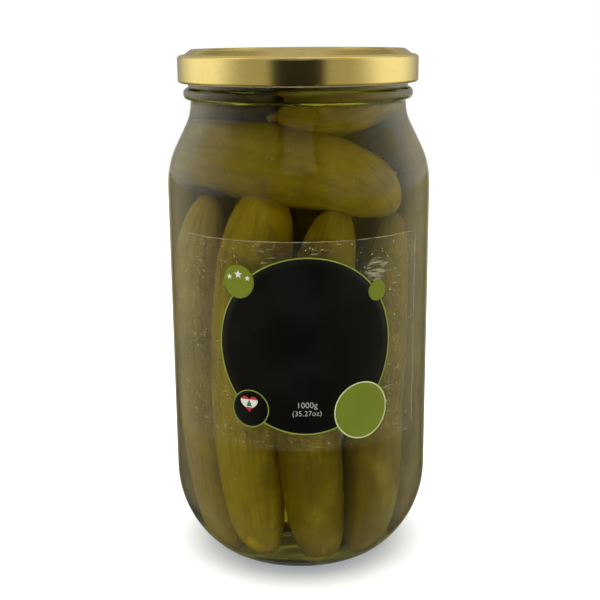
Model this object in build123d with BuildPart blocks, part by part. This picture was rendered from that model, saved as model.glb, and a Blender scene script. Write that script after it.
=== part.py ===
"""A 1 litre pickle jar: glass jar, twist-off lid, brine and a clear film label.

Millimetres, +Z up. The origin is the centre of the foot, and the front faces -Y.
"""

import os
from math import asin, cos, degrees, radians, sin, tan

from build123d import *

# ---- glass jar: radii are of the outside ----
body_radius = 48.0
wall = 3.0
heel_radius = 38.0  # long curve from the body down to the foot
foot_radius = 14.0  # tighter curve that turns under to the table
foot_turn = 43.2  # degrees the foot curve turns
floor_thickness = 5.0
floor_curve = 12.0  # inside curve from the floor to the heel
push_up = 2.0  # hollow under the foot
stand_width = 2.5  # flat ring that stands on the table

shoulder_corner_height = 147.5  # above the table, where the body's and the shoulder's lines cross
shoulder_slope = 26.5  # degrees from upright
shoulder_round = 32.0
neck_radius = 38.9
neck_round = 17.0
neck_length = 5.25  # from where the shoulder's and the neck's lines cross up to the bead

bead_stand_out = 2.45
bead_thickness = 3.9
bead_round = 1.5
bead_root_round = 0.8

finish_stand_out = 0.7  # the glass under the lid, beyond the neck
finish_length = 11.7  # from the bead to the rim
rim_round = 1.2

# ---- threads on the finish: each one is part of a ring set off the jar's axis ----
thread_count = 6
thread_half_height = 0.9
thread_stand_out = 1.4
thread_ring_radius = 30.0
thread_half_turn = 36.0  # degrees about the ring's own axis
thread_drop = 7.9  # below the rim
thread_tilt = 5.0  # falls to the left when seen from outside
first_thread_angle = -98.0

# ---- lid: heights are from the rim ----
sheet = 0.4
lid_clearance = 3.6  # from the finish to the lid's outside
lid_drop = 9.8
curl_radius = 0.9
lid_corner_drop = 0.45
lid_corner_round = 1.3
ledge_width = 2.5  # flat step inside the lid's corner
ledge_rise = 0.05
lining_overhang = 0.4  # past the finish
ring_outer_inset = 1.3  # from the finish
ring_inner_inset = 1.0  # from the mouth
ring_rise = 1.75
pressing_round = 0.6
panel_inset = 0.1  # from the mouth
panel_rise = 0.9
button_radius = 15.0
button_depth = 0.5

lug_reach = 1.4  # inwards from the curl
lug_thickness = 1.1
lug_width = 9.0
lug_angle = 14.0  # degrees past the middle of each thread

# ---- what fills the jar ----
headspace = 6.8  # from the brine to the rim
fill_gap = 0.2

# ---- film label ----
film_thickness = 0.15
film_gap = 0.05
film_above_heel = 22.0
film_below_shoulder = 12.84
film_left = -64.0  # degrees from the front, seen from outside
film_right = 57.5
film_corner = 3.0

# ---- worked out from the above ----
heel_turn = 90 - foot_turn
heel_height = foot_radius + (heel_radius - foot_radius) * sin(radians(heel_turn))
stand_radius = body_radius - heel_radius + (heel_radius - foot_radius) * cos(radians(heel_turn))
neck_corner_height = shoulder_corner_height + (body_radius - neck_radius) / tan(radians(shoulder_slope))
bead_radius = neck_radius + bead_stand_out
bead_bottom = neck_corner_height + neck_length
bead_top = bead_bottom + bead_thickness
finish_radius = neck_radius + finish_stand_out
mouth_radius = neck_radius - wall
rim_height = bead_top + finish_length

thread_height = rim_height - thread_drop
thread_offset = finish_radius + thread_stand_out - thread_half_height - thread_ring_radius

lid_radius = finish_radius + lid_clearance
lid_bottom = rim_height - lid_drop
ring_height = rim_height + ring_rise
panel_height = rim_height + panel_rise

brine_level = rim_height - headspace
film_radius = body_radius + film_gap
film_bottom = heel_height + film_above_heel
film_top = shoulder_corner_height - shoulder_round * tan(radians(shoulder_slope / 2)) - film_below_shoulder
front = -90.0  # degrees from +X


def thread_angle(index):
    """The direction of the middle of a thread, in degrees from +X."""
    return first_thread_angle + index * 360 / thread_count


def cavity(gap, top):
    """Draws the jar's inside outline, `gap` clear of the glass, and gives its end at `top`."""
    inset = wall + gap
    corner_drop = inset * tan(radians(shoulder_slope / 2))
    radius = body_radius - inset
    heel = heel_radius - inset
    floor = floor_thickness + gap
    turn = degrees(asin((heel_height - floor - floor_curve) / (heel - floor_curve)))
    corner_radius = radius - heel + (heel - floor_curve) * cos(radians(turn))
    floor_arc = JernArc((corner_radius, floor), (1, 0), floor_curve, 90 - turn)
    JernArc(floor_arc @ 1, floor_arc % 1, heel, turn)
    Line((0, floor), floor_arc @ 0)
    side = FilletPolyline(
        (radius, heel_height),
        (radius, shoulder_corner_height - corner_drop),
        (neck_radius - inset, neck_corner_height - corner_drop),
        (neck_radius - inset, top),
        radius=(shoulder_round - inset, neck_round + inset),
    )
    return side @ 1


# ---- the jar ----
with BuildPart() as jar:
    with BuildSketch(Plane.XZ):
        with BuildLine():
            foot_arc = JernArc((stand_radius, 0), (1, 0), foot_radius, foot_turn)
            JernArc(foot_arc @ 1, foot_arc % 1, heel_radius, heel_turn)
            FilletPolyline(
                (body_radius, heel_height),
                (body_radius, shoulder_corner_height),
                (neck_radius, neck_corner_height),
                (neck_radius, bead_bottom),
                (bead_radius, bead_bottom),
                (bead_radius, bead_top),
                (finish_radius, bead_top),
                (finish_radius, rim_height),
                (0, rim_height),
                radius=(
                    shoulder_round,
                    neck_round,
                    bead_root_round,
                    bead_round,
                    bead_round,
                    bead_root_round,
                    rim_round,
                ),
            )
            Line((0, rim_height), (0, push_up))
            ThreePointArc(
                (0, push_up),
                ((stand_radius - stand_width) / 2, push_up * 0.75),
                (stand_radius - stand_width, 0),
            )
            Line((stand_radius - stand_width, 0), (stand_radius, 0))
        make_face()
    revolve(axis=Axis.Z)

    for index in range(thread_count):
        outward = Location((0, 0, thread_height), (0, 0, thread_angle(index)))
        ring_centre = outward * Location((thread_offset, 0, 0), (thread_tilt, 0, 0))
        with Locations(ring_centre * Location((0, 0, 0), (0, 0, -thread_half_turn))):
            Torus(thread_ring_radius, thread_half_height, major_angle=2 * thread_half_turn)

    with BuildSketch(Plane.XZ):
        with BuildLine():
            Line(cavity(0, rim_height + 1), (0, rim_height + 1))
            Line((0, rim_height + 1), (0, floor_thickness))
        make_face()
    revolve(axis=Axis.Z, mode=Mode.SUBTRACT)
jar.part.label = "jar"


# ---- the twist-off lid: pressed sheet, rolled edge, lugs and the lining over the rim ----
with BuildPart() as lid:
    with BuildSketch(Plane.XZ):
        with BuildLine():
            outside = FilletPolyline(
                (0, panel_height - button_depth),
                (button_radius - button_depth, panel_height - button_depth),
                (button_radius + button_depth, panel_height),
                (mouth_radius + panel_inset, panel_height),
                (mouth_radius + ring_inner_inset, ring_height),
                (finish_radius - ring_outer_inset, ring_height),
                (lid_radius - ledge_width, rim_height + ledge_rise),
                (lid_radius, rim_height - lid_corner_drop),
                (lid_radius, lid_bottom + curl_radius),
                radius=(pressing_round,) * 6 + (lid_corner_round,),
            )
            offset(amount=-sheet, side=Side.RIGHT, closed=True)
        make_face()
    revolve(axis=Axis.Z)

    with BuildSketch(Plane.XZ):
        with Locations((lid_radius - curl_radius, lid_bottom + curl_radius)):
            Circle(curl_radius)
    revolve(axis=Axis.Z)

    with BuildSketch(Plane.XZ):
        with BuildLine():
            Polyline(
                (mouth_radius, rim_height),
                (finish_radius + lining_overhang, rim_height),
                (finish_radius - ring_outer_inset, ring_height - sheet / 2),
                (mouth_radius + ring_inner_inset, ring_height - sheet / 2),
                (mouth_radius, panel_height - sheet / 2),
                close=True,
            )
        make_face()
    revolve(axis=Axis.Z)

    for index in range(thread_count):
        lug_place = Location((0, 0, lid_bottom), (0, 0, thread_angle(index) + lug_angle))
        with Locations(lug_place * Location((lid_radius - curl_radius, 0, 0))):
            Box(
                curl_radius + lug_reach,
                lug_width,
                lug_thickness,
                align=(Align.MAX, Align.CENTER, Align.MIN),
            )
lid.part.label = "lid"

# ---- the brine, up to just under the rim ----
with BuildPart() as brine:
    with BuildSketch(Plane.XZ):
        with BuildLine():
            Line(cavity(fill_gap, brine_level), (0, brine_level))
            Line((0, brine_level), (0, floor_thickness + fill_gap))
        make_face()
    revolve(axis=Axis.Z)
brine.part.label = "brine"

# ---- the clear film label on the front of the body ----
with BuildPart() as label:
    with BuildSketch(Plane.XY.offset(film_bottom)):
        with BuildLine():
            film_turn = film_right - film_left
            inner_edge = CenterArc((0, 0), film_radius, front + film_left, film_turn)
            outer_edge = CenterArc((0, 0), film_radius + film_thickness, front + film_left, film_turn)
            Line(inner_edge @ 0, outer_edge @ 0)
            Line(inner_edge @ 1, outer_edge @ 1)
        make_face()
    extrude(amount=film_top - film_bottom)
    straight_edges = label.edges().filter_by(GeomType.LINE)
    corners = straight_edges.filter_by(lambda edge: edge.length < 2 * film_thickness)
    fillet(corners, radius=film_corner)
label.part.label = "label"

# ---- one file for each piece ----
os.makedirs("parts", exist_ok=True)
for piece in (jar, lid, brine, label):
    export_step(piece.part, f"parts/{piece.part.label}.step")
    print(piece.part.label, round(piece.part.volume), "mm3")
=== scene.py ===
import math
import random

import bmesh
import bpy
from mathutils import Matrix, Vector, noise


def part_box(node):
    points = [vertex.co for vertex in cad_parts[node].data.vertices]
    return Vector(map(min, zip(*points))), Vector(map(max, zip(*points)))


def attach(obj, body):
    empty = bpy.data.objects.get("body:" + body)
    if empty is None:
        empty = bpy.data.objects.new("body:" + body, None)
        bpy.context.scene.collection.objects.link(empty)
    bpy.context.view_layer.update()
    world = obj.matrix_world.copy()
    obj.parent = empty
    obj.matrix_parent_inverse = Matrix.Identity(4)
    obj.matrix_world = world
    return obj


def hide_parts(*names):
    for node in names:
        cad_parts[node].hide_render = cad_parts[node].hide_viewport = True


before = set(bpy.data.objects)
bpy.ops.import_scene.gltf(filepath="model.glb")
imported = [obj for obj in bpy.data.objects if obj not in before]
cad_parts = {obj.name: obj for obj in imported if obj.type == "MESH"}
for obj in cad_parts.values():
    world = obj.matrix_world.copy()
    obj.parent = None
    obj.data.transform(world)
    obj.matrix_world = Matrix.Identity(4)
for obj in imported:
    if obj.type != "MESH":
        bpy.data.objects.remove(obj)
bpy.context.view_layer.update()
MM = 0.001

# ---- sizes the pieces are placed by, in mm unless noted ----
brine_low, brine_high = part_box("brine")
film_low, film_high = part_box("label")
jar_low, jar_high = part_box("jar")
lid_low, lid_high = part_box("lid")

BODY_RADIUS = 48.0
NECK_RADIUS = 38.9
WALL = 3.0
FLOOR = 5.0  # the thickness of the jar's floor
HEEL_CURVE = 38.0
HEEL_HEIGHT = 31.5  # where the heel's curve meets the straight body
SHOULDER_CORNER = 147.5  # where the body's line and the shoulder's would meet
SHOULDER_SLOPE = 26.5  # degrees from upright
SHOULDER_CURVE = 32.0
NECK_CURVE = 17.0
FILM_FACE = 48.2  # the film's outer face
BRINE_LEVEL = brine_high.z / MM
BITE = 0.3  # how far the brine reaches into the wall


# ---- shader maths ----
class Level:
    """A number in a shader. Sums written with it add their Math nodes."""

    def __init__(self, finish, socket):
        self.finish = finish
        self.socket = socket

    def sum(self, operation, first, second=0.0, clamp=False):
        settings = {"operation": operation, "use_clamp": clamp}
        node = self.finish.add("ShaderNodeMath", settings, {0: first, 1: second})
        return Level(self.finish, node.outputs[0])

    def __add__(self, other):
        return self.sum("ADD", self, other)

    def __radd__(self, other):
        return self.sum("ADD", other, self)

    def __sub__(self, other):
        return self.sum("SUBTRACT", self, other)

    def __rsub__(self, other):
        return self.sum("SUBTRACT", other, self)

    def __mul__(self, other):
        return self.sum("MULTIPLY", self, other)

    def __rmul__(self, other):
        return self.sum("MULTIPLY", other, self)

    def __truediv__(self, other):
        return self.sum("DIVIDE", self, other)

    def __rtruediv__(self, other):
        return self.sum("DIVIDE", other, self)

    def __abs__(self):
        return self.sum("ABSOLUTE", self)

    def least(self, other):
        return self.sum("MINIMUM", self, other)

    def most(self, other):
        return self.sum("MAXIMUM", self, other)

    def over(self, low, high):
        """0 below low, 1 above high, and smooth between."""
        inputs = {"Value": self, "From Min": low, "From Max": high}
        node = self.finish.add("ShaderNodeMapRange", {"interpolation_type": "SMOOTHSTEP"}, inputs)
        return Level(self.finish, node.outputs["Result"])


class Finish:
    """A node tree being made, of a material or of the world."""

    def __init__(self, owner):
        self.owner = owner
        owner.use_nodes = True
        self.tree = owner.node_tree
        self.tree.nodes.clear()

    def add(self, kind, settings=None, inputs=None):
        node = self.tree.nodes.new(kind)
        for name, value in (settings or {}).items():
            setattr(node, name, value)
        for name, value in (inputs or {}).items():
            if isinstance(value, Level):
                value = value.socket
            if isinstance(value, bpy.types.NodeSocket):
                self.tree.links.new(value, node.inputs[name])
            else:
                node.inputs[name].default_value = value
        return node

    def place(self):
        """The object's own coordinates, in metres."""
        return self.add("ShaderNodeTexCoord").outputs["Object"]

    def from_axis(self, place):
        """The distance from the jar's axis, in metres."""
        flat = self.add("ShaderNodeVectorMath", {"operation": "MULTIPLY"}, {0: place, 1: (1, 1, 0)})
        length = self.add("ShaderNodeVectorMath", {"operation": "LENGTH"}, {0: flat.outputs[0]})
        return Level(self, length.outputs["Value"])

    def axes(self, vector):
        parts = self.add("ShaderNodeSeparateXYZ", None, {0: vector}).outputs
        return [Level(self, part) for part in parts]

    def noise(self, vector, scale, detail=3.0, roughness=0.5, stretch=(1, 1, 1)):
        moved = self.add("ShaderNodeMapping", None, {"Vector": vector, "Scale": stretch})
        inputs = {"Vector": moved.outputs[0], "Scale": scale, "Detail": detail, "Roughness": roughness}
        return Level(self, self.add("ShaderNodeTexNoise", None, inputs).outputs[0])

    def mix(self, share, first, second):
        """A colour between two, by share."""
        settings = {"data_type": "RGBA"}
        node = self.add("ShaderNodeMix", settings, {0: share, 6: first, 7: second})
        return node.outputs[2]

    def bump(self, height, strength, distance):
        inputs = {"Height": height, "Strength": strength, "Distance": distance}
        return self.add("ShaderNodeBump", None, inputs).outputs[0]

    def surface(self, shader, volume=None):
        ends = {"Surface": shader.outputs[0]}
        if volume:
            ends["Volume"] = volume.outputs[0]
        self.add("ShaderNodeOutputMaterial", None, ends)
        return self.owner


def material(name):
    return Finish(bpy.data.materials.new(name))


def shade(red, green, blue):
    """A colour as paint charts give it, 0 to 255, in the shaders' own scale."""
    parts = [c / 255 for c in (red, green, blue)]
    return tuple(c / 12.92 if c < 0.04045 else ((c + 0.055) / 1.055) ** 2.4 for c in parts) + (1.0,)


# ---- finishes ----
def jar_glass():
    finish = material("jar glass")
    place = finish.place()
    x, y, z = finish.axes(place)
    waves = finish.noise(place, 45.0, 2.0, 0.4, (1, 1, 0.6))
    radius = finish.from_axis(place)
    # The brine wets what lies inside the middle of the wall, under its level and over the floor.
    half_wall = WALL / 2 * MM
    slope = math.tan(math.radians(SHOULDER_SLOPE))
    shoulder = BODY_RADIUS * MM - 0.0017 - (z - SHOULDER_CORNER * MM) * slope
    mid_wall = shoulder.least(BODY_RADIUS * MM - half_wall).most(NECK_RADIUS * MM - half_wall)
    wet = (mid_wall - radius).over(0.0, 0.0001) * (brine_high.z - z).over(0.0, 0.0002)
    wet = wet * z.over(0.0035, 0.0037)
    principled = finish.add("ShaderNodeBsdfPrincipled", None, {
        "Base Color": shade(247, 251, 247),
        "Roughness": 0.0,
        "IOR": 1.5,
        "Transmission Weight": 1.0,
        "Specular Tint": (0.0, 0.0, 0.0, 1),
        "Coat Weight": 1.0 - wet,
        "Coat IOR": 1.5,
        "Coat Roughness": 0.0,
        "Normal": finish.bump(waves, 0.12, 0.002),
    })
    return finish.surface(principled)


def brine_liquid():
    finish = material("brine")
    place = finish.place()
    ripple = finish.noise(place, 60.0, 1.0)
    principled = finish.add("ShaderNodeBsdfPrincipled", None, {
        "Base Color": (1, 1, 1, 1),
        "Roughness": 0.0,
        "IOR": 1.345,
        "Transmission Weight": 1.0,
        "Specular Tint": (0.0, 0.0, 0.0, 1),
        "Normal": finish.bump(ripple, 0.02, 0.001),
    })
    tint = finish.add("ShaderNodeVolumeAbsorption", None, {"Color": (0.71, 0.69, 0.08, 1), "Density": 60.0})
    return finish.surface(principled, tint)


def pickle_skin():
    finish = material("pickle skin")
    place = finish.place()
    skin = finish.add("ShaderNodeAttribute", {"attribute_name": "skin"}).outputs["Vector"]
    tone = Level(finish, finish.add("ShaderNodeAttribute", {"attribute_name": "tone"}).outputs["Fac"])
    streaks = finish.noise(skin, 5.0, 4.0, 0.6, (1, 1, 0.25))
    patches = finish.noise(place, 55.0, 3.0, 0.55)
    specks = finish.noise(place, 420.0, 2.0, 0.6)
    olive = finish.mix(tone, shade(150, 124, 22), shade(206, 172, 24))
    darker = finish.mix(streaks.over(0.42, 0.7) * 0.42, olive, shade(124, 104, 18))
    pale = finish.mix(patches.over(0.5, 0.75) * 0.55, darker, shade(214, 186, 50))
    blotched = finish.mix((1.0 - patches).over(0.5, 0.66) * 0.42, pale, shade(118, 98, 16))
    tiny = finish.noise(place, 780.0, 1.0, 0.5)
    dots = tiny.over(0.69, 0.75) * specks.over(0.46, 0.58)
    dotted = finish.mix(dots * 0.45, blotched, shade(232, 214, 130))
    relief = patches * 0.5 + specks * 0.25
    principled = finish.add("ShaderNodeBsdfPrincipled", None, {
        "Base Color": dotted,
        "Roughness": streaks * 0.2 + 0.35,
        "IOR": 1.4,
        "Specular IOR Level": 0.15,
        "Normal": finish.bump(relief, 0.6, 0.0012),
    })
    return finish.surface(principled)


def lid_lacquer():
    finish = material("gold lacquer")
    place = finish.place()
    x, y, z = finish.axes(place)
    radius = finish.from_axis(place)
    lining_top = lid_high.z - 0.00215
    inside = (0.0428 - radius).over(0.0, 0.0002) * (lining_top - z).over(0.0, 0.0001)
    rolled = finish.noise(place, 150.0, 2.0, 0.5, (1, 1, 0.12))
    scuffs = finish.noise(place, 900.0, 3.0, 0.65)
    gold = finish.mix(scuffs.over(0.35, 0.75), shade(250, 230, 162), shade(248, 225, 154))
    colour = finish.mix(inside, gold, shade(222, 220, 208))
    principled = finish.add("ShaderNodeBsdfPrincipled", None, {
        "Base Color": colour,
        "Metallic": 1.0 - inside,
        "Roughness": scuffs * 0.03 + rolled * 0.08 + 0.12,
        "Normal": finish.bump(rolled * 0.6 + scuffs * 0.03, 0.03, 0.001),
    })
    return finish.surface(principled)


def clear_film():
    finish = material("clear film")
    place = finish.place()
    x, y, z = finish.axes(place)
    scratches = finish.noise(place, 420.0, 2.0, 0.5, (0.6, 0.6, 4.0))
    blooms = finish.noise(place, 60.0, 3.0, 0.6)
    flecks = scratches.over(0.6, 0.7) * blooms.over(0.42, 0.6)
    # Painted highlight: the film's top and right edges are made whiter and more opaque, as if catching the
    # light, and stronger where the scratches are.
    top_edge = z.over(film_high.z - 0.00035, film_high.z - 0.0002)
    side_edge = x.over(film_high.x - 0.0004, film_high.x - 0.0002)
    edge = top_edge + side_edge
    loose_spot = round_about(FILM_FACE, 32.5, 115.5)
    reach = finish.add("ShaderNodeVectorMath", {"operation": "DISTANCE"}, {0: place, 1: loose_spot})
    loose = (0.0055 - Level(finish, reach.outputs["Value"])).over(0.0, 0.003) * scratches.over(0.42, 0.58)
    rim = edge * (scratches.over(0.4, 0.6) * 0.14 + 0.07)
    # The film's whitening combines its real haze, flecks, blooms and loose spot with the painted edge
    # highlight.
    cover = loose * 0.22 + flecks * 0.16 + rim + blooms.over(0.6, 0.85) * 0.04 + 0.012
    principled = finish.add("ShaderNodeBsdfPrincipled", None, {
        "Base Color": shade(214, 209, 180),
        "Roughness": blooms * 0.2 + 0.15,
        "IOR": 1.45,
        "Alpha": cover,
    })
    return finish.surface(principled)


def ink(name, colour, second):
    finish = material(name)
    place = finish.place()
    mottle = finish.noise(place, 700.0, 3.0, 0.6)
    clouds = finish.noise(place, 40.0, 2.0, 0.5)
    tone = finish.mix(clouds.over(0.35, 0.7), colour, second)
    principled = finish.add("ShaderNodeBsdfPrincipled", None, {
        "Base Color": tone,
        "Roughness": mottle * 0.15 + 0.38,
        "IOR": 1.45,
        "Specular IOR Level": 0.2,
        "Normal": finish.bump(mottle, 0.08, 0.0002),
    })
    return finish.surface(principled)


def floor_paper():
    finish = material("floor paper")
    place = finish.place()
    fibres = finish.noise(place, 900.0, 3.0)
    colour = finish.mix(fibres, shade(244, 244, 244), shade(250, 250, 250))
    principled = finish.add("ShaderNodeBsdfPrincipled", None, {
        "Base Color": colour,
        "Roughness": 0.7,
        "Specular IOR Level": 0.0,
        "Emission Color": (0.8, 0.87, 1.0, 1),
        "Emission Strength": 0.36,
        "Normal": finish.bump(fibres, 0.05, 0.0005),
    })
    return finish.surface(principled)


# ---- making pieces ----
def add_piece(name, mesh, finish):
    """Closes a bmesh into a piece that rides on the jar."""
    bmesh.ops.remove_doubles(mesh, verts=mesh.verts, dist=1e-6)
    bmesh.ops.recalc_face_normals(mesh, faces=mesh.faces)
    data = bpy.data.meshes.new(name)
    mesh.to_mesh(data)
    mesh.free()
    data.shade_smooth()
    data.materials.append(finish)
    piece = bpy.data.objects.new(name, data)
    bpy.context.scene.collection.objects.link(piece)
    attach(piece, "root")
    return piece


def round_about(radius, turn, height):
    """The point at a distance from the axis, degrees to the right of the front, and a height."""
    angle = math.radians(turn)
    return Vector((radius * math.sin(angle), -radius * math.cos(angle), height)) * MM


# ---- brine ----
def arc(centre, radius, first, last, steps):
    """Points on an arc in the outline's plane, by degrees from outwards."""
    for step in range(steps + 1):
        angle = math.radians(first + (last - first) * step / steps)
        yield centre[0] + radius * math.cos(angle), centre[1] + radius * math.sin(angle)


def brine_outline():
    """The jar's inside outline, a little into the wall, from the floor's middle to the level."""
    inset = WALL - BITE
    floor_top = jar_low.z / MM + FLOOR - BITE
    floor_curve = 12.0
    heel_radius = HEEL_CURVE - inset
    heel_middle = BODY_RADIUS - HEEL_CURVE
    reach = heel_radius - floor_curve
    turn = math.degrees(math.asin((HEEL_HEIGHT - floor_top - floor_curve) / reach))
    middle = (heel_middle + reach * math.cos(math.radians(turn)), floor_top + floor_curve)
    outline = [(0.0, floor_top)]
    outline += list(arc(middle, floor_curve, -90, -turn, 8))
    outline += list(arc((heel_middle, HEEL_HEIGHT), heel_radius, -turn, 0, 14))[1:]
    slope = math.radians(SHOULDER_SLOPE)
    side = BODY_RADIUS - inset
    neck = NECK_RADIUS - inset
    corner = SHOULDER_CORNER - inset * math.tan(slope / 2)
    neck_corner = corner + (BODY_RADIUS - NECK_RADIUS) / math.tan(slope)
    shoulder_round = SHOULDER_CURVE - inset
    neck_round = NECK_CURVE + inset
    shoulder_start = corner - shoulder_round * math.tan(slope / 2)
    outline += list(arc((side - shoulder_round, shoulder_start), shoulder_round, 0, SHOULDER_SLOPE, 10))
    neck_end = neck_corner + neck_round * math.tan(slope / 2)
    outline += list(arc((neck + neck_round, neck_end), neck_round, 180 + SHOULDER_SLOPE, 180, 8))
    outline.append((neck, BRINE_LEVEL))
    outline.append((0.0, BRINE_LEVEL))
    return [Vector((radius, 0, height)) * MM for radius, height in outline]


def spun(outline, steps=128):
    """A bmesh of an outline spun about the jar's axis."""
    mesh = bmesh.new()
    points = [mesh.verts.new(point) for point in outline]
    edges = [mesh.edges.new(pair) for pair in zip(points, points[1:])]
    bmesh.ops.spin(
        mesh,
        geom=points + edges,
        cent=(0, 0, 0),
        axis=(0, 0, 1),
        angle=math.tau,
        steps=steps,
        use_merge=True,
    )
    return mesh


brine_fill = add_piece("brine_fill", spun(brine_outline()), brine_liquid())
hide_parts("brine")


# ---- pickles ----
def along_spine(points, share):
    """The point a share of the way along a smooth line that its points pull."""
    while len(points) > 1:
        points = [first.lerp(second, share) for first, second in zip(points, points[1:])]
    return points[0]


def add_pickle(mesh, spine, girth, tone, seed, blunt=2.6, taper=0.12, rows=60, columns=36):
    """Adds a pickle to a bmesh: a blunt-ended body round its spine, with ribs, dents and small warts."""
    skin = mesh.verts.layers.float_vector["skin"]
    shade_of = mesh.verts.layers.float["tone"]
    made = bmesh.ops.create_uvsphere(mesh, u_segments=columns, v_segments=rows, radius=1.0)
    shift = Vector((seed * 7.31, seed * 3.17, seed * 5.71))
    for vert in made["verts"]:
        start = vert.co.copy()
        along = math.copysign(abs(start.z) ** (2 / blunt), start.z)
        around = math.hypot(start.x, start.y) ** (2 / blunt)
        angle = math.atan2(start.y, start.x)
        share = (along + 1) / 2
        middle = along_spine(spine, share)
        before = along_spine(spine, max(share - 0.01, 0))
        after = along_spine(spine, min(share + 0.01, 1))
        ahead = (after - before).normalized()
        side = ahead.cross(Vector((0.35, 1.0, 0.2))).normalized()
        front = side.cross(ahead)
        way = side * math.cos(angle) + front * math.sin(angle)
        thick = girth * around * (1 - taper * along)
        thick *= 1 + 0.03 * math.cos(3 * angle + seed) + 0.011 * math.cos(9 * angle + seed * 2)
        thick *= 1 + 0.09 * noise.noise(Vector((0, 0, share * 3.2)) + shift)
        spot = Vector((math.cos(angle) * 1.6, math.sin(angle) * 1.6, share * 7)) + shift
        lumps = noise.noise(spot) * 0.42 + max(0, noise.noise(spot * 2.3) - 0.28) * 1.3
        vert.co = middle + way * (thick + lumps * around) * MM
        vert[skin] = Vector((math.cos(angle), math.sin(angle), along * 2 + seed))
        vert[shade_of] = tone + 0.28 * (along - 0.3)


def add_stub(mesh, tip, way, thick, length, tone, seed):
    """Adds the short dry end of a stem, at a pickle's tip."""
    spine = [tip - way * 1.5 * MM, tip + way * length * MM]
    add_pickle(mesh, spine, thick, tone, seed, 2.4, 0.1, 12, 14)


skin_finish = pickle_skin()

# Each: its spine from the foot up, as distance from the axis, degrees to the right of the front, and
# height; its girth, tone from olive to yellow, taper towards the end, and how blunt its ends are.
UPRIGHT = (
    # the four in front, from left to right
    (((28, -52, 8), (33, -60, 40), (35, -96, 92), (32, -57, 138)), 10.6, 0.75, -0.02, 2.8),
    (((36, -20, 10.5), (31, -34, 38), (35, -40, 86), (30, -18.5, 140.5)), 11.4, 1.0, -0.16, 3.4),
    (((34, 13, 9), (33, 0, 45), (34, 2, 88), (33, 21, 135.5)), 11.0, 0.28, 0.0, 3.0),
    (((29, 42, 8), (35, 46, 40), (34, 44, 88), (30, 66, 132)), 10.6, 0.3, 0.08, 2.8),
    # on round the back to the left side
    (((28, 84, 9), (35, 80, 50), (33, 84, 96), (32, 93, 147)), 10.2, 0.4, 0.0, 2.6),
    (((30, 118, 9), (35, 116, 60), (31, 120, 139)), 10.4, 0.6, 0.1, 2.6),
    (((31, 154, 12), (34, 150, 66), (31, 156, 142)), 10.2, 0.3, 0.0, 2.7),
    (((30, -170, 12), (35, -174, 60), (30, -168, 140)), 10.5, 0.7, 0.1, 2.6),
    (((31, -134, 10), (34, -138, 70), (30, -133, 143)), 10.2, 0.45, 0.0, 2.8),
    (((30, -100, 17), (35, -102, 58), (33, -96, 144)), 10.3, 0.3, 0.1, 2.6),
    # the core
    (((10, -8, 24), (12, 10, 70), (9, -12, 144)), 9.8, 0.3, -0.1, 2.6),
    (((11, 112, 26), (12, 100, 70), (12, 120, 146)), 9.6, 0.4, -0.1, 2.6),
    (((12, -118, 22), (12, -110, 70), (11, -122, 146)), 9.8, 0.35, -0.1, 2.6),
)
LYING = (
    # the top one and the long one in front
    (((27, -14, 167.5), (27, 14, 164), (27, 42, 166.8), (27, 92, 171)), 9.2, 1.1, 0.0, 2.5),
    (
        ((38, -107, 150), (39, -40, 154.5), (32, 4, 149), (38, 40, 146.5), (33, 56, 134)),
        12.2, 0.6, 0.15, 2.9,
    ),
    # behind them, and in the shoulder's two sides
    (((27, -94, 166), (22, -170, 169), (27, 108, 169)), 9.8, 0.5, 0.1, 2.6),
    (((31, 108, 146), (33, 150, 153), (30, -174, 149)), 11.0, 0.45, 0.05, 2.8),
    (((35, 64, 155), (38, 93, 150), (31, 132, 151)), 9.7, 0.55, 0.0, 2.8),
    (((32, -112, 147), (29, -150, 150), (28, -178, 158)), 10.5, 0.35, 0.1, 2.6),
    # the core
    (((14, -80, 144), (6, 20, 147), (18, 100, 146)), 12.0, 0.25, 0.0, 2.8),
    (((16, -60, 163), (6, 120, 165), (18, 130, 166)), 10.0, 0.25, 0.0, 2.6),
)


def add_pickles(name, rows, first_seed, stubs=()):
    """Makes one piece of a table's pickles and of the stem ends on them."""
    mesh = bmesh.new()
    mesh.verts.layers.float_vector.new("skin")
    mesh.verts.layers.float.new("tone")
    for seed, (stops, girth, tone, taper, blunt) in enumerate(rows):
        spine = [round_about(*stop) for stop in stops]
        add_pickle(mesh, spine, girth, tone, seed + first_seed, blunt, taper)
    for stub in stubs:
        add_stub(mesh, *stub)
    add_piece(name, mesh, skin_finish)


# Each: tip, way, girth, length, tone and seed.
STEM_ENDS = (
    (round_about(27, -13.5, 166), Vector((-1, 0.1, -0.25)).normalized(), 1.9, 3.6, 0.95, 51),
    (round_about(32, 27.5, 133), Vector((0.35, -0.1, 1)).normalized(), 1.7, 2.8, 0.6, 52),
)
add_pickles("pickles_standing", UPRIGHT, 1)
add_pickles("pickles_lying", LYING, 31, STEM_ENDS)


# ---- print on the film ----
DISC_TURN = 2.75
DISC_HEIGHT = 90.7
DISC_RADIUS = 31.2


def ring_drawing(inner, outer, steps=96, rows=12):
    """A flat ring, or a disc where inner is 0, divided so that it can bend."""
    mesh = bmesh.new()
    spots = [Vector((inner + (outer - inner) * row / rows, 0, 0)) for row in range(rows + 1)]
    points = [mesh.verts.new(spot) for spot in spots]
    edges = [mesh.edges.new(pair) for pair in zip(points, points[1:])]
    bmesh.ops.spin(
        mesh,
        geom=points + edges,
        cent=(0, 0, 0),
        axis=(0, 0, 1),
        angle=math.tau,
        steps=steps,
        use_merge=True,
    )
    bmesh.ops.remove_doubles(mesh, verts=mesh.verts, dist=1e-4)
    return mesh


def outline_drawing(spots, cell=0.8):
    """A flat filled outline, cut into strips so that it can bend."""
    mesh = bmesh.new()
    mesh.faces.new([mesh.verts.new((x, y, 0)) for x, y in spots])
    bmesh.ops.triangulate(mesh, faces=mesh.faces)
    strips(mesh, cell)
    return mesh


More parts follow.
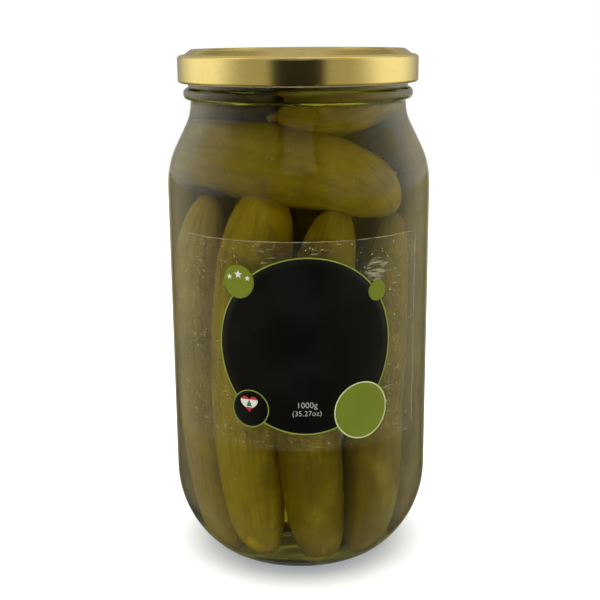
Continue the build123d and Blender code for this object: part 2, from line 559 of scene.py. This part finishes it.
def strips(mesh, cell):
    xs = [vert.co.x for vert in mesh.verts]
    place = min(xs) + cell
    while place < max(xs):
        geom = mesh.verts[:] + mesh.edges[:] + mesh.faces[:]
        bmesh.ops.bisect_plane(mesh, geom=geom, plane_co=(place, 0, 0), plane_no=(1, 0, 0))
        place += cell


def thicken(mesh, depth=0.02):
    """Gives a drawing the thickness of an ink layer."""
    bmesh.ops.recalc_face_normals(mesh, faces=mesh.faces)
    for face in mesh.faces:
        if face.normal.z < 0:
            face.normal_flip()
    made = bmesh.ops.extrude_face_region(mesh, geom=mesh.faces[:])
    moved = [part for part in made["geom"] if isinstance(part, bmesh.types.BMVert)]
    for vert in moved:
        vert.co.z += depth
    return mesh


def add_print(name, mesh, finish, turn, height, lift=0.0):
    """Lays a flat drawing, in mm round its own middle, on the film, so far off it."""
    radius = FILM_FACE + lift
    thicken(mesh)
    for vert in mesh.verts:
        spot = vert.co.copy()
        reach = radius + spot.z
        angle = math.radians(turn) + spot.x / radius
        vert.co = Vector((reach * math.sin(angle), -reach * math.cos(angle), height + spot.y)) * MM
    return add_piece(name, mesh, finish)


black_ink = ink("black ink", shade(8, 8, 9), shade(18, 19, 20))
green_ink = ink("green ink", shade(108, 120, 26), shade(98, 110, 22))
line_ink = ink("green line ink", shade(132, 152, 62), shade(112, 132, 52))
pale_ink = ink("pale green ink", shade(190, 200, 150), shade(176, 188, 140))
white_ink = ink("white ink", shade(214, 214, 208), shade(200, 200, 194))
red_ink = ink("red ink", shade(176, 52, 62), shade(160, 44, 54))
leaf_ink = ink("leaf ink", shade(52, 120, 62), shade(44, 104, 54))

# Heights the inks lie at over the film: the disc, its line, the badges and letters, and the signs.
DISC_LIFT = 0.02
LINE_LIFT = 0.03
BADGE_LIFT = 0.06
SIGN_LIFT = 0.1

line_drawing = ring_drawing(DISC_RADIUS - 0.45, DISC_RADIUS, 128, 2)
add_print("print_disc", ring_drawing(0, DISC_RADIUS - 0.4), black_ink, DISC_TURN, DISC_HEIGHT, DISC_LIFT)
add_print("print_disc_line", line_drawing, line_ink, DISC_TURN, DISC_HEIGHT, LINE_LIFT)

STAR_BADGE = (-25.2, 112.9)  # degrees to the right of the front, and height
SMALL_BADGE = (33.2, 108.8)
HEART_BADGE = (-20.9, 68.25)
LARGE_BADGE = (26.25, 66.75)
add_print("badge_upper_left", ring_drawing(0, 5.75, 64, 6), green_ink, *STAR_BADGE, BADGE_LIFT)
add_print("badge_upper_right", ring_drawing(0, 3.6, 48, 4), green_ink, *SMALL_BADGE, BADGE_LIFT)
add_print("badge_lower_left", ring_drawing(0, 6.45, 64, 6), black_ink, *HEART_BADGE, BADGE_LIFT)
add_print("badge_lower_left_line", ring_drawing(6.4, 6.75, 64, 1), line_ink, *HEART_BADGE, BADGE_LIFT)
add_print("badge_lower_right", ring_drawing(0, 9.9, 80, 8), green_ink, *LARGE_BADGE, BADGE_LIFT)
add_print("badge_lower_right_line", ring_drawing(9.85, 10.35, 80, 1), pale_ink, *LARGE_BADGE, BADGE_LIFT)


def bubble_film():
    finish = material("bubbles under the film")
    place = finish.place()
    grain = finish.noise(place, 1500.0, 2.0)
    principled = finish.add("ShaderNodeBsdfPrincipled", None, {
        "Base Color": finish.mix(grain, shade(218, 212, 178), shade(190, 184, 150)),
        "Roughness": grain * 0.3 + 0.3,
        "IOR": 1.45,
        "Alpha": grain * 0.6 + 0.02,
    })
    return finish.surface(principled)


def bubbles(count, left, right, low, high, longest):
    """Flat drawing, round the disc's middle, of small bubbles and creases between four edges."""
    draw = random.Random(count)
    mesh = bmesh.new()
    for step in range(count):
        across = math.radians(draw.uniform(left, right) - DISC_TURN) * FILM_FACE
        up = draw.uniform(low, high) - DISC_HEIGHT
        long = longest * draw.uniform(0.25, 1.0)
        thin = long * draw.uniform(0.25, 0.7)
        size = (long, thin) if draw.random() < 0.6 else (thin, long)
        if math.hypot(across, up) < DISC_RADIUS + 1.5:
            continue
        spot = Matrix.Translation((across, up, 0)) @ Matrix.Diagonal((size[0], size[1], 1, 1))
        bmesh.ops.create_circle(mesh, cap_ends=True, segments=8, radius=1, matrix=spot)
    return mesh


FILM_FOOT = film_low.z / MM + 1
FILM_TOP = film_high.z / MM - 1
bubble_finish = bubble_film()
# Each: how many, the left and right edges in degrees, the low and high edges, and the longest one.
BUBBLES = (
    ("bubbles_left", 230, -60, -30, FILM_FOOT, FILM_TOP, 0.42),
    ("bubbles_edge", 90, -63.5, -60.5, FILM_FOOT, FILM_TOP, 0.45),
    ("bubbles_top", 110, -30, 45, FILM_TOP - 12, FILM_TOP, 0.42),
    ("bubbles_foot", 140, -32, 50, FILM_FOOT, FILM_FOOT + 10, 0.42),
    ("bubbles_right", 190, 38, 56, FILM_FOOT, FILM_TOP, 0.45),
)
for name, *spread in BUBBLES:
    add_print(name, bubbles(*spread), bubble_finish, DISC_TURN, DISC_HEIGHT)


def star(size):
    spots = []
    for step in range(10):
        reach = size if step % 2 == 0 else size * 0.42
        angle = math.radians(90 + 36 * step)
        spots.append((reach * math.cos(angle), reach * math.sin(angle)))
    return spots


for index, (across, up, size) in enumerate(((-3.4, 1.5, 1.05), (0.0, 2.5, 1.6), (3.4, 1.4, 1.05))):
    turn = STAR_BADGE[0] + math.degrees(across / FILM_FACE)
    height = STAR_BADGE[1] + up
    add_print(f"badge_star_{index}", outline_drawing(star(size)), white_ink, turn, height, SIGN_LIFT)


def heart(size):
    spots = []
    for step in range(48):
        angle = math.tau * step / 48
        x = 16 * math.sin(angle) ** 3
        y = 13 * math.cos(angle) - 5 * math.cos(2 * angle) - 2 * math.cos(3 * angle) - math.cos(4 * angle)
        spots.append((x * size / 16, y * size / 16))
    return spots


def band(spots, low, high):
    """The part of an outline between two heights."""
    mesh = outline_drawing(spots, 0.7)
    for place, way in ((low, -1), (high, 1)):
        geom = mesh.verts[:] + mesh.edges[:] + mesh.faces[:]
        bmesh.ops.bisect_plane(
            mesh, geom=geom, plane_co=(0, place, 0), plane_no=(0, way, 0), clear_outer=True
        )
    return mesh


HEART = (-21.4, 70.2)  # degrees to the right of the front, and height
HEART_SIZE = 3.2
for name, low, high, finish in (
    ("heart_top", 1.3, 9, red_ink),
    ("heart_middle", -1.5, 1.3, white_ink),
    ("heart_tip", -9, -1.5, red_ink),
):
    add_print(name, band(heart(HEART_SIZE), low, high), finish, *HEART, SIGN_LIFT)
leaf_spots = [
    (-1.0, -1.2), (1.0, -1.2), (0.35, -0.3), (0.75, -0.3), (0.0, 1.15), (-0.75, -0.3), (-0.35, -0.3),
]
add_print("heart_leaf", outline_drawing(leaf_spots), leaf_ink, *HEART, SIGN_LIFT + 0.03)


def words(text, height):
    """Flat lettering, a given height, in mm round its own middle."""
    curve = bpy.data.curves.new("words", "FONT")
    curve.body = text
    curve.align_x = "CENTER"
    curve.align_y = "CENTER"
    curve.size = height
    curve.resolution_u = 3
    curve.offset = -0.03
    writing = bpy.data.objects.new("words", curve)
    bpy.context.scene.collection.objects.link(writing)
    flat = bpy.data.meshes.new_from_object(writing)
    mesh = bmesh.new()
    mesh.from_mesh(flat)
    bpy.data.objects.remove(writing)
    bpy.data.meshes.remove(flat)
    bmesh.ops.triangulate(mesh, faces=mesh.faces)
    strips(mesh, 1.0)
    return mesh


letter_ink = ink("letter ink", shade(184, 184, 180), shade(168, 168, 164))
add_print("weight_grams", words("1000g", 3.0), letter_ink, DISC_TURN, 70.2, BADGE_LIFT)
add_print("weight_ounces", words("(35.27oz)", 2.7), letter_ink, DISC_TURN, 67.2, BADGE_LIFT)


# ---- finishes on the parts that stay ----
def repaint(node, finish):
    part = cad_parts[node]
    if not part.material_slots:
        part.data.materials.append(finish)
    for place in part.material_slots:
        place.material = finish


repaint("jar", jar_glass())
repaint("lid", lid_lacquer())
repaint("label", clear_film())


# ---- studio ----
def add_floor():
    mesh = bmesh.new()
    bmesh.ops.create_circle(mesh, cap_ends=True, segments=96, radius=1.1)
    data = bpy.data.meshes.new("floor")
    mesh.to_mesh(data)
    mesh.free()
    data.materials.append(floor_paper())
    floor = bpy.data.objects.new("floor", data)
    bpy.context.scene.collection.objects.link(floor)
    floor.visible_glossy = False
    return floor


add_floor()


# Soft panels of light stand round the jar, the same to the left and to the right. Each pair is in
# degrees round from the front: where a panel starts to show, and where it is full or has gone.
FILL = (20, 30)
SIDE_RISES = (45, 90)
SIDE_FADES = (105, 160)
REAR = (150, 160)
LID_TINT = (1.0, 0.96, 0.78, 1)
FILL_TINT = (1.0, 0.86, 0.2, 1)
SIDE_TINT = (1.0, 0.93, 0.58, 1)
BLACK = (0, 0, 0, 1)


def studio_world():
    """White behind whatever the camera sees, and soft panels of light in the reflections."""
    world = bpy.data.worlds.new("studio")
    bpy.context.scene.world = world
    finish = Finish(world)
    way = finish.add("ShaderNodeTexCoord").outputs["Generated"]
    x, y, z = finish.axes(way)
    flat = finish.add("ShaderNodeVectorMath", {"operation": "MULTIPLY"}, {0: way, 1: (1, 1, 0)})
    unit = finish.add("ShaderNodeVectorMath", {"operation": "NORMALIZE"}, {0: flat.outputs[0]})
    side, back, level = finish.axes(unit.outputs[0])
    front = 0.0 - back
    turn = front.sum("ARCCOSINE", front)
    fill, rise, fade, rear = (
        turn.over(math.radians(start), math.radians(full))
        for start, full in (FILL, SIDE_RISES, SIDE_FADES, REAR)
    )
    side_panel = rise * (1.0 - fade)
    lid_light = finish.mix(fill * 0.3 + side_panel * 0.7 + 0.03, BLACK, LID_TINT)
    # Below and above the lid's level the fill is warmer and gives way to the side panel.
    glass_level = fill * (0.45 - rise * 0.3) + rise * side_panel * 0.75 + rear * 0.35
    glass_light = finish.mix(glass_level, BLACK, finish.mix(rise, FILL_TINT, SIDE_TINT))
    low = 1.0 - z.over(-0.42, 0.0)
    dimmed = finish.mix(low * 0.62, glass_light, BLACK)
    near_level = z.over(-0.068, -0.054) * (1.0 - z.over(0.35, 0.42))
    panels = finish.mix(near_level, dimmed, lid_light)
    window = front.over(0.95, 0.965) * z.over(0.42, 0.46) * (1.0 - z.over(0.76, 0.8))
    lit = finish.mix(window, panels, (0.3, 0.29, 0.26, 1))
    under = finish.mix(1.0 - z.over(-0.9, -0.7), lit, (0.12, 0.12, 0.11, 1))
    rays = finish.add("ShaderNodeLightPath").outputs
    seen = Level(finish, rays["Is Camera Ray"])
    mirrored = Level(finish, rays["Is Glossy Ray"])
    overhead = finish.mix(mirrored, (1.4, 1.4, 1.4, 1), (0.42, 0.4, 0.34, 1))
    whole = finish.mix(z.over(0.86, 0.94), under, overhead)
    light = finish.mix(seen, whole, (1, 1, 1, 1))
    background = finish.add("ShaderNodeBackground", None, {"Color": light, "Strength": 1.0})
    finish.add("ShaderNodeOutputWorld", None, {"Surface": background.outputs[0]})


studio_world()


def softbox(name, turn, distance, height, size, power):
    lamp = bpy.data.lights.new(name, "AREA")
    lamp.shape = "RECTANGLE"
    lamp.size, lamp.size_y = size
    lamp.energy = power
    light = bpy.data.objects.new(name, lamp)
    light.location = round_about(distance, turn, height)
    aim = Vector((0, 0, 0.09)) - light.location
    light.rotation_mode = "QUATERNION"
    light.rotation_quaternion = aim.to_track_quat("-Z", "Y")
    light.visible_camera = False
    bpy.context.scene.collection.objects.link(light)
    return light


top_light = softbox("top light", 0, 1, 1300, (2.0, 2.0), 22)
top_light.visible_glossy = False

lens = bpy.data.cameras.new("studio camera")
lens.lens = 64.06
lens.sensor_width = 36
camera = bpy.data.objects.new("studio camera", lens)
camera.location = (0.00016, -0.3933, 0.1947)
pitch = Matrix.Rotation(math.radians(90 - 14.18), 3, "X")
roll = Matrix.Rotation(math.radians(-0.41), 3, "Z")
camera.rotation_mode = "QUATERNION"
camera.rotation_quaternion = (pitch @ roll).to_quaternion()
lens.clip_start = 0.01
bpy.context.scene.collection.objects.link(camera)
bpy.context.scene.camera = camera

scene = bpy.context.scene
scene.view_settings.view_transform = "Standard"
scene.cycles.max_bounces = 24
scene.cycles.transmission_bounces = 24
scene.cycles.transparent_max_bounces = 24
scene.cycles.diffuse_bounces = 4
scene.cycles.glossy_bounces = 8
scene.cycles.use_denoising = True
scene.cycles.caustics_refractive = True
scene.cycles.caustics_reflective = False
